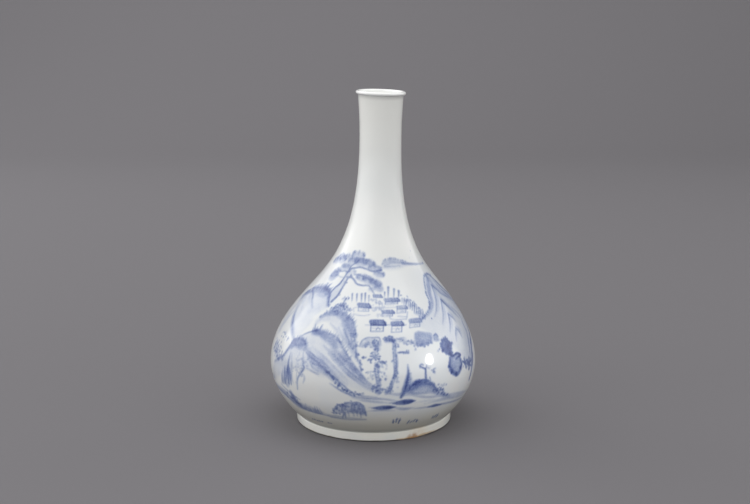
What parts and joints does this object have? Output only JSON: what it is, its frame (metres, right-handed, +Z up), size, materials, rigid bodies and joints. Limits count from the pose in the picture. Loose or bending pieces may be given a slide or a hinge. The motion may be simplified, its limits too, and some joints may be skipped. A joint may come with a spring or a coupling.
{
  "type": "porcelain bottle",
  "caption": "Tall-necked porcelain bottle with a low round belly, rolled lip and foot ring, hollow and open at the mouth, painted in blue with a landscape.",
  "frame": {"origin": "middle of the bounding box's underside, on the plane that the foot ring stands on", "axes": "+Z up; -Y is the painted front that the picture shows, and +X is the side that the neck leans to, at the picture's right"},
  "size_m": [0.2192, 0.2192, 0.3503],
  "materials": {
    "glazed_porcelain": "glossy pale bluish-grey transparent glaze over white porcelain, painted in blue under the glaze, with a bare rim under the foot"
  },
  "bodies": {
    "root": {"bottle": "glazed_porcelain"}
  },
  "joints": []
}
